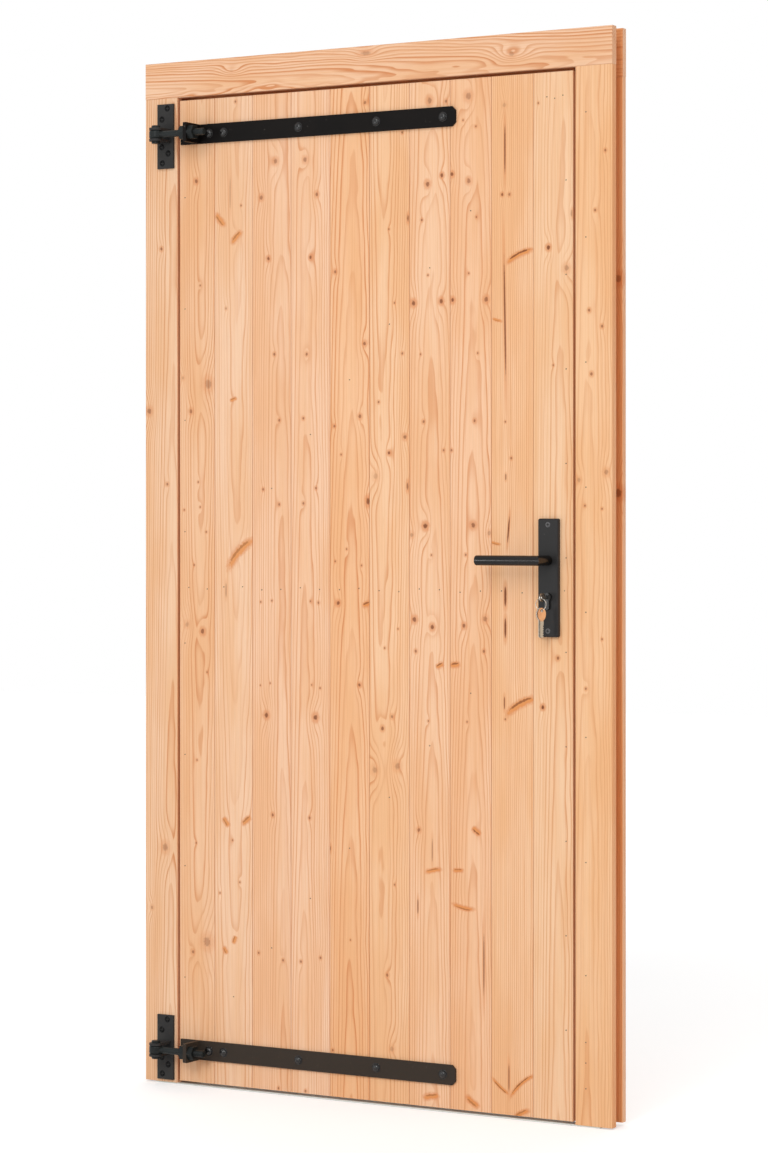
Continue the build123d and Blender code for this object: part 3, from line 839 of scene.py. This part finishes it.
# Stiles, rails and braces behind the boards
LEDGE_TINT = (254, 248, 240)
timber("hinge_stile", [
    knot(-410, 1700, 6, dark=0.8),
    pin(-395, 1290, 3.4),
    knot(-430, 720, 7, dark=0.45),
    pin(-405, 420, 3.2),
], pith=(0.03, -0.05), seed=20.0, tint=LEDGE_TINT)
timber("lock_stile", [
    pin(400, 1620, 3.4),
    knot(425, 1380, 6, dark=0.7),
    knot(390, 560, 5, dark=0.85),
    pin(430, 250, 3.0),
], pith=(-0.02, -0.05), seed=21.0, tint=LEDGE_TINT)
for seed, rail in enumerate(("top_rail", "middle_rail", "bottom_rail"), 22):
    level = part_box(rail)[0].z * 1000
    marks = [
        knot(-210, level + 95, 7, dark=0.6),
        pin(35, level + 40, 3.6),
        knot(240, level + 80, 6, dark=0.8),
    ]
    timber(rail, marks, turn=90.0, pith=(0.01, -0.06), lean=(0.004, 0.016), seed=float(seed), tint=LEDGE_TINT)
for seed, brace in enumerate(("upper_brace", "lower_brace"), 26):
    low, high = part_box(brace)
    slope = math.degrees(math.atan2(high.x - low.x, high.z - low.z))
    marks = [
        knot(0, (low.z + high.z) * 500, 6, tilt=30, dark=0.7),
        pin(170, low.z * 250 + high.z * 750, 3.5),
    ]
    timber(brace, marks, turn=slope, pith=(0.0, -0.06), lean=(0.004, 0.012), seed=float(seed),
           tint=LEDGE_TINT)


# Metal finishes: colours as on an 8-bit display
WORN_STEEL = (104, 98, 92)
STRAP_TONES = ((11, 8, 7), (18, 14, 12))
PLATE_TONES = ((44, 43, 43), (54, 53, 52))
BOLT_TONES = ((24, 27, 27), (38, 42, 42))
for side in HINGES:
    # The fourth value is painted sheen: the lower strap grows paler, standing in for the floor's light
    # reflected in it
    for piece, tones, shine, floor_sheen, specular in (
        ("strap", STRAP_TONES, 0.48, 0.12, 0.10),
        ("hinge_plate", PLATE_TONES, 0.48, 0.0, 0.15),
        ("eye_bolt", BOLT_TONES, 0.34, 0.0, 0.15),
        ("eye_bolt_nuts", BOLT_TONES, 0.34, 0.0, 0.15),
        ("hinge_pin", BOLT_TONES, 0.34, 0.0, 0.15),
    ):
        node = f"{side}_{piece}"
        coat = metal_material(
            node, *tones, WORN_STEEL, shine, 0.0, floor_sheen=floor_sheen, specular=specular, box=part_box(node))
        finish(node, coat)
for side in ("outside", "inside"):
    plate, lever = f"{side}_handle_plate", f"{side}_lever"
    finish(plate, metal_material(
        plate, (34, 33, 33), (42, 41, 41), WORN_STEEL, 0.42, 0.0, smudge=9.0, specular=0.19,
        box=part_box(plate)))
    finish(lever, metal_material(
        lever, (11, 8, 6), (17, 13, 10), WORN_STEEL, 0.20, 0.0, smudge=9.0, specular=0.30))

BLACK_BOLT = metal_material(
    "black_bolt", (20, 19, 19), (30, 29, 29), (130, 128, 126), 0.14, 0.0, smudge=60.0,
    specular=0.45)
GREY_SCREW = metal_material(
    "grey_screw", (84, 83, 84), (98, 97, 98), (140, 138, 136), 0.30, 0.2, smudge=60.0)
BLACK_SCREW = metal_material(
    "black_screw", (8, 8, 8), (14, 13, 13), (90, 88, 86), 0.30, 0.0, smudge=60.0,
    specular=0.10)
BRIGHT_STEEL = metal_material(
    "bright_steel", (168, 168, 166), (190, 190, 188), (214, 214, 212), 0.32, 1.0,
    stretch=(1, 1, 0.06), smudge=30.0)
NICKEL = metal_material(
    "key_nickel", (176, 172, 164), (204, 200, 192), (226, 224, 220), 0.24, 1.0, smudge=70.0)
KEY_BLADE_SHARE = 0.60
KEY_NECK_FADE = 0.005
key_low, key_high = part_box("front_spare_key")
key_neck = key_low.z + KEY_BLADE_SHARE * (key_high.z - key_low.z)
COPPER = metal_material(
    "key_copper", (192, 134, 92), (208, 152, 106), (226, 182, 140), 0.30, 0.9, smudge=70.0,
    blade=((164, 148, 128), key_neck - KEY_NECK_FADE, key_neck))
BLACK_NICKEL = metal_material(
    "cylinder_coat", (24, 23, 23), (36, 35, 35), (140, 138, 134), 0.28, 0.3, smudge=60.0)
ALUMINIUM = metal_material(
    "threshold_aluminium", (206, 208, 203), (216, 218, 212), (226, 226, 224), 0.42, 0.4,
    stretch=(0.04, 1, 1), smudge=20.0)
NAIL_STEEL = metal_material(
    "nail_steel", (84, 72, 58), (106, 92, 76), (140, 128, 112), 0.4, 0.6, smudge=90.0)

for node in ("spindle", "lock_case", "latch_and_bolt", "strike_plate"):
    finish(node, BRIGHT_STEEL)
finish("lock_cylinder", BLACK_NICKEL)
finish("lock_key", NICKEL)
finish("rear_spare_key", NICKEL)
finish("front_spare_key", COPPER)
finish("threshold_strip", ALUMINIUM)


# Objects, points and angles
def add_object(name, data):
    """Puts a mesh, lamp or camera into the scene as an object."""
    made = bpy.data.objects.new(name, data)
    bpy.context.scene.collection.objects.link(made)
    return made


def points(x, y, z):
    """Points from coordinates that are arrays or single values."""
    return np.stack(np.broadcast_arrays(x, y, z), axis=-1)


def circle(count):
    """Angles once round, the last one meeting the first."""
    return np.linspace(0.0, 2 * math.pi, count)


# Fasteners, threads and the split ring
def surface(name, grids, body, material, crease=35.0):
    """A mesh from an array of point grids, ordered grid, row, column, point.

    Each point joins its neighbours along both parameters of its grid as four-cornered faces. Points that
    fall together at seams and poles are merged, and the faces are turned outwards.
    """
    count, rows, columns = grids.shape[:3]
    index = np.arange(count * rows * columns).reshape(count, rows, columns)
    corners = (index[:, :-1, :-1], index[:, 1:, :-1], index[:, 1:, 1:], index[:, :-1, 1:])
    faces = np.stack(corners, axis=-1).reshape(-1, 4)
    mesh = bpy.data.meshes.new(name)
    mesh.from_pydata(grids.reshape(-1, 3).tolist(), [], faces.tolist())
    work = bmesh.new()
    work.from_mesh(mesh)
    bmesh.ops.remove_doubles(work, verts=work.verts, dist=2e-6)
    bmesh.ops.dissolve_degenerate(work, edges=work.edges, dist=1e-7)
    bmesh.ops.recalc_face_normals(work, faces=work.faces)
    work.to_mesh(mesh)
    work.free()
    mesh.shade_smooth()
    mesh.set_sharp_from_angle(angle=math.radians(crease))
    mesh.materials.append(material)
    piece = add_object(name, mesh)
    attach(piece, body)
    return piece


def turned(radii, heights, angles):
    """A profile of radii and heights, in millimetres, carried round an axis, as right, up and out."""
    radii = np.broadcast_to(radii, (len(heights), len(angles)))
    right = radii * np.cos(angles)
    up = radii * np.sin(angles)
    out = np.broadcast_to(np.array(heights)[:, None], right.shape)
    return np.stack((right, up, out), axis=-1) / 1000


def seat(shape, places, right, up, out):
    """Copies of a shape at places in metres, its own right, up and out turned to the given directions."""
    turned_shape = shape @ np.array([right, up, out], float)
    return np.asarray(places, float)[:, None, None, :] + turned_shape[None]


def hexagon(flats, angles):
    """Radius of a hexagon of a given width across its flats, at each angle."""
    return flats / 2 / np.cos((angles + math.pi / 6) % (math.pi / 3) - math.pi / 6)


def button_head():
    """A smooth domed bolt head on a thin collar: the dome's rows climb a quarter of an ellipse."""
    angles = circle(49)
    climb = np.linspace(0.0, math.pi / 2, 12)
    dome_radius = 8.0
    dome_rise = 5.0
    collar_radii = [9.6, 9.6, 9.2, 8.4]
    collar_heights = [0.0, 0.7, 1.0, 1.0]
    radii = np.concatenate((collar_radii, dome_radius * np.cos(climb)))
    heights = np.concatenate((collar_heights, collar_heights[-1] + dome_rise * np.sin(climb)))
    return turned(radii[:, None], heights, angles)


def washer(outer, inner, thick):
    """A flat ring: a short rectangle with eased corners, carried round the axis."""
    ease = 0.3
    lip = 0.2
    radii = np.array([inner, outer, outer, outer - ease, inner + lip, inner])[:, None]
    return turned(radii, [0.0, 0.0, thick - ease, thick, thick, 0.0], circle(41))


def nut(flats, height, end):
    """A hexagon nut, its corners turned back to a circle outside, and the bolt's end standing out."""
    corner_ease = 0.9
    tip_ease = 0.7
    turned_radius = flats * 0.515
    bolt = flats * 0.29
    angles = circle(49)
    hexagon_row = hexagon(flats, angles)
    eased_row = np.minimum(hexagon_row, turned_radius)
    bolt_rows = [np.full(49, radius) for radius in (bolt, bolt, bolt - tip_ease, 0.0)]
    tip = height + end
    heights = [0.0, height - corner_ease, height, height, tip - tip_ease, tip, tip]
    return turned(np.array([hexagon_row, hexagon_row, eased_row, *bolt_rows]), heights, angles)


def cross_screw(radius, rise):
    """A countersunk screw head: a shallow dome, sunk along two crossing slots.

    The slots' depth falls off with the distance from the nearer slot's middle line and towards the rim.
    """
    angles = circle(49)
    reach = np.array([1.0, 0.97, 0.86, 0.74, 0.62, 0.5, 0.36, 0.22, 0.1, 0.0]) * radius
    grid = turned(reach[:, None], np.zeros(10), angles) * 1000
    aside = np.minimum(np.abs(grid[..., 0]), np.abs(grid[..., 1]))
    slot_half = 0.11 * radius
    slot_end = 0.7 * radius
    slot_fade = 0.15 * radius
    slot_depth = 0.45 * radius
    lip = 0.15
    slot = np.clip(1.6 - aside / slot_half, 0.0, 1.0)
    slot = slot * np.clip((slot_end - reach[:, None]) / slot_fade, 0.0, 1.0)
    dome = rise * (1.0 - (reach[:, None] / radius) ** 2)
    shallower = np.clip(1.15 - reach[:, None] / radius, 0.0, 1.0)
    grid[..., 2] = lip + dome - slot_depth * slot * shallower
    grid[0, :, 2] = 0.0
    return grid / 1000


def nail_head():
    """A small low dome: four rows round the axis."""
    radii = np.array([1.3, 1.25, 0.8, 0.0])[:, None]
    return turned(radii, [0.0, 0.2, 0.36, 0.4], circle(11))


RIGHT, FRONT, UP = (1, 0, 0), (0, -1, 0), (0, 0, 1)
LEFT, BACK = (-1, 0, 0), (0, 1, 0)

# Bolts through each strap, with washers and nuts on the rail behind
WASHER_THICK = 0.0018
NUT_SINK = 0.0001
strap_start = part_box("upper_strap")[0].x
bolt_along = strap_start + np.array([0.071, 0.107, 0.289, 0.473, 0.627])
for side in HINGES:
    low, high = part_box(f"{side}_strap")
    level = (low.z + high.z) / 2
    backs = points(bolt_along, LEAF_BACK, level)
    heads = seat(button_head(), points(bolt_along, STRAP_FACE, level), RIGHT, UP, FRONT)
    surface(f"{side}_strap_bolts", heads, "leaf", BLACK_BOLT)
    washers = seat(washer(outer=12.0, inner=4.2, thick=WASHER_THICK * 1000), backs, LEFT, UP, BACK)
    surface(f"{side}_bolt_washers", washers, "leaf", BRIGHT_STEEL)
    nuts = seat(nut(flats=13.0, height=6.5, end=3.0), backs + (0, WASHER_THICK - NUT_SINK, 0), LEFT, UP, BACK)
    surface(f"{side}_bolt_nuts", nuts, "leaf", BRIGHT_STEEL)

# Screws in each hinge plate, staggered above and below the eye
screw_across = np.array([5.0, -8.5, -9.0, 7.0, -7.5]) / 1000
screw_rise = np.array([58.5, 36.0, -22.0, -36.0, -56.0]) / 1000
for side in HINGES:
    low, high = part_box(f"{side}_hinge_plate")
    across = (low.x + high.x) / 2 + screw_across
    rise = (low.z + high.z) / 2 + screw_rise
    screws = seat(cross_screw(radius=6.6, rise=1.2), points(across, PLATE_FACE, rise), RIGHT, UP, FRONT)
    surface(f"{side}_plate_screws", screws, "frame", BLACK_SCREW)

SCREW_INSET = 0.012


def screw_rises(low, high):
    """Heights of the two screws near a plate's lower and upper end."""
    return np.array([low.z + SCREW_INSET, high.z - SCREW_INSET])


# Screws in the handle plates, the lock's forend and the strike plate
plate_low, plate_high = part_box("outside_handle_plate")
plate_middle = (plate_low.x + plate_high.x) / 2
inside_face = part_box("inside_handle_plate")[1].y
for side, face, right, out in (
    ("outside", plate_low.y, RIGHT, FRONT),
    ("inside", inside_face, LEFT, BACK),
):
    places = points(plate_middle, face, screw_rises(plate_low, plate_high))
    screws = seat(cross_screw(radius=5.2, rise=0.8), places, right, UP, out)
    surface(f"{side}_plate_screws", screws, "leaf", GREY_SCREW)
case_low, case_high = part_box("lock_case")
places = points(case_high.x, 0.0, screw_rises(case_low, case_high))
screws = seat(cross_screw(radius=4.0, rise=0.5), places, BACK, UP, RIGHT)
surface("forend_screws", screws, "leaf", BRIGHT_STEEL)
strike_low, strike_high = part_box("strike_plate")
places = points(strike_low.x, 0.0, screw_rises(strike_low, strike_high))
screws = seat(cross_screw(radius=4.0, rise=0.5), places, FRONT, UP, LEFT)
surface("strike_screws", screws, "frame", BRIGHT_STEEL)


def screw_thread(start, end, radius, pitch, depth):
    """A thread on a rod along X: the radius rises and falls once each pitch, later as the angle turns."""
    along = np.arange(start, end, pitch / 6)
    angles = circle(25)
    phase = (along[:, None] / pitch - angles / (2 * math.pi)) % 1.0
    reach = radius + depth * (1.0 - np.abs(2.0 * phase - 1.0))
    along = np.broadcast_to(along[:, None], reach.shape)
    return np.stack((along, reach * np.cos(angles), reach * np.sin(angles)), axis=-1)


for side in HINGES:
    low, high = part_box(f"{side}_eye_bolt")
    thread_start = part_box(f"{side}_eye_bolt_nuts")[1].x - 0.002
    grid = screw_thread(thread_start, high.x - 0.0015, radius=0.00695, pitch=0.002, depth=0.0005)
    grid = grid + np.array([0.0, (low.y + high.y) / 2, (low.z + high.z) / 2])
    coat = nodes[f"{side}_eye_bolt"].data.materials[0]
    surface(f"{side}_eye_bolt_thread", grid[None], "leaf", coat, crease=80.0)


def split_ring(centre, radius, wire):
    """Two turns of a springy wire: a small circle carried twice round a ring.

    The second turn lies beside the first, a wire's width along the ring's axis, reached through a smooth
    step, and each end closes to a point.
    """
    step_start = 1.7 * math.pi
    step_length = 0.6 * math.pi
    end_length = 0.12
    way = np.linspace(0.0, 4 * math.pi, 161)
    step = np.clip((way - step_start) / step_length, 0.0, 1.0)
    offset = (step * step * (3 - 2 * step) - 0.5) * wire * 1.02
    around = circle(13)
    taper = np.sqrt(np.clip(np.minimum(way, way[-1] - way) / end_length, 0.0, 1.0))
    thick = wire / 2 * taper
    reach = radius + thick[:, None] * np.cos(around)
    out = offset[:, None] + thick[:, None] * np.sin(around)
    ring = np.stack((reach * np.cos(way)[:, None], -out, reach * np.sin(way)[:, None]), axis=-1)
    return ring + np.asarray(centre)


ring_low, ring_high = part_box("key_ring")
ring_wire = (ring_high.y - ring_low.y) / 2
ring = split_ring((ring_low + ring_high) / 2, (ring_high.x - ring_low.x - ring_wire) / 2, ring_wire)
key_loop = surface("split_key_ring", ring[None], "leaf", NICKEL, crease=80.0)
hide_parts("key_ring")

# Nails through the boards: where the rows stand and how the slanting ones rise
RAIL_NAILS = 1.040
HINGE_STILE_NAILS = -0.447
LOCK_STILE_NAILS = 0.444
JAMB_NAILS = 0.488
UPPER_NAIL_SLOPE = 1.18
LOWER_NAIL_SLOPE = 1.153
board_low = np.array([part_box(f"leaf_board_{number:02d}")[0].x for number in range(1, 11)])
board_pitch = board_low[2] - board_low[1]
board_middle = board_low + board_pitch / 2
pairs = np.concatenate((board_middle - 0.024, board_middle + 0.022))
wobble = 0.003 * np.sin(np.arange(20) * 2.4)
inner = board_middle[2:8]
lower = board_middle[1:8]
nail_places = [
    points(pairs, LEAF_FACE, RAIL_NAILS + wobble),
    points(inner, LEAF_FACE, 1.258 + (inner + 0.223) * UPPER_NAIL_SLOPE),
    points(lower, LEAF_FACE, 0.198 + (lower + 0.322) * LOWER_NAIL_SLOPE),
    points(HINGE_STILE_NAILS, LEAF_FACE, np.linspace(0.225, 1.855, 8)),
    points(LOCK_STILE_NAILS, LEAF_FACE, np.linspace(0.185, 1.845, 10)),
    points(np.array([0.402, 0.419, 0.437]), LEAF_FACE, np.array([2.010, 2.006, 2.011])),
]
heads = seat(nail_head(), np.concatenate(nail_places), RIGHT, UP, FRONT)
surface("board_nails", heads, "leaf", NAIL_STEEL)
jamb_rise = np.concatenate((np.array([0.075, 0.125, 0.165, 0.295]), np.linspace(0.515, 1.975, 7)))
heads = seat(nail_head(), points(JAMB_NAILS, FRONT_FACE, jamb_rise), RIGHT, UP, FRONT)
surface("jamb_nails", heads, "frame", NAIL_STEEL)


# Stage: floor, light and camera
SKY_LEVEL = 0.53
FLOOR_HALF = 12
FLOOR_GREY = 0.70
FLOOR_LIFT = 0.44
CAMERA_PLACE = (3.256, -5.61, 1.185)
CAMERA_TURN = 30
CAMERA_LENS = 99.8
CAMERA_SHIFT = -0.0507


def seen_directly(tree):
    """One for rays from the camera, a mirror or glass, and nought for scattered light."""
    rays = tree.nodes.new("ShaderNodeLightPath").outputs
    seen = maths(tree, "MAXIMUM", rays["Is Glossy Ray"], rays["Is Transmission Ray"])
    return maths(tree, "MAXIMUM", rays["Is Camera Ray"], seen)


def light_world():
    """An even pale sky, white where the camera, a mirror or glass sees it."""
    world = bpy.data.worlds.new("studio")
    bpy.context.scene.world = world
    world.use_nodes = True
    tree = world.node_tree
    sky = tree.nodes["Background"]
    sky.inputs["Color"].default_value = (1.0, 1.0, 1.0, 1.0)
    feed(tree, sky.inputs["Strength"], span(tree, seen_directly(tree), 0.0, 1.0, SKY_LEVEL, 1.0))


def lay_floor():
    """A wide pale floor, lifted to white where it is seen directly and not in shadow."""
    mesh = bpy.data.meshes.new("floor")
    half = FLOOR_HALF
    corners = [(-half, -half, 0), (half, -half, 0), (half, half, 0), (-half, half, 0)]
    mesh.from_pydata(corners, [], [(0, 1, 2, 3)])
    floor = add_object("floor", mesh)
    floor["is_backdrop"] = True
    pale, tree, shader, _ = start_material("pale_floor")
    shader.inputs["Base Color"].default_value = (FLOOR_GREY, FLOOR_GREY, FLOOR_GREY, 1.0)
    shader.inputs["Roughness"].default_value = 0.9
    shader.inputs["Specular IOR Level"].default_value = 0.0
    shader.inputs["Emission Color"].default_value = (1.0, 1.0, 1.0, 1.0)
    lift = times(tree, seen_directly(tree), FLOOR_LIFT)
    feed(tree, shader.inputs["Emission Strength"], lift)
    mesh.materials.append(pale)


def hang_lamp(name, azimuth, elevation, strength, softness):
    """A wide lamp far off, by its azimuth from the front towards the lock side and its elevation."""
    lamp = bpy.data.lights.new(name, "SUN")
    lamp.energy = strength
    lamp.angle = math.radians(softness)
    lamp_object = add_object(name, lamp)
    lamp_object.rotation_euler = (math.radians(90 - elevation), 0.0, math.radians(azimuth))


def stand_softbox(name, place, aim, width, height, power):
    """A rectangular lamp at a place, turned to face a point."""
    lamp = bpy.data.lights.new(name, "AREA")
    lamp.shape = "RECTANGLE"
    lamp.size = width
    lamp.size_y = height
    lamp.energy = power
    lamp_object = add_object(name, lamp)
    lamp_object.location = place
    direction = mathutils.Vector(aim) - mathutils.Vector(place)
    lamp_object.rotation_euler = direction.to_track_quat("-Z", "Y").to_euler()


light_world()
lay_floor()
hang_lamp("front_light", azimuth=12, elevation=36, strength=0.70, softness=28)
hang_lamp("side_light", azimuth=78, elevation=20, strength=0.46, softness=40)
hang_lamp("back_light", azimuth=205, elevation=40, strength=0.80, softness=60)
stand_softbox("right_softbox", (0.9, -4.2, 2.6), (0.0, 0.0, 1.3), width=0.8, height=0.8, power=30.0)
stand_softbox("left_softbox", (-1.95, -4.0, 1.1), (0.3, 0.0, 1.2), width=0.5, height=1.4, power=22.0)

camera = bpy.data.cameras.new("camera")
camera.lens = CAMERA_LENS
camera.sensor_width = 36.0
camera.shift_y = CAMERA_SHIFT
camera_object = add_object("camera", camera)
camera_object.location = CAMERA_PLACE
camera_object.rotation_euler = (math.radians(90), 0.0, math.radians(CAMERA_TURN))
bpy.context.scene.camera = camera_object
bpy.context.scene.view_settings.view_transform = "Standard"

low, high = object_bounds()
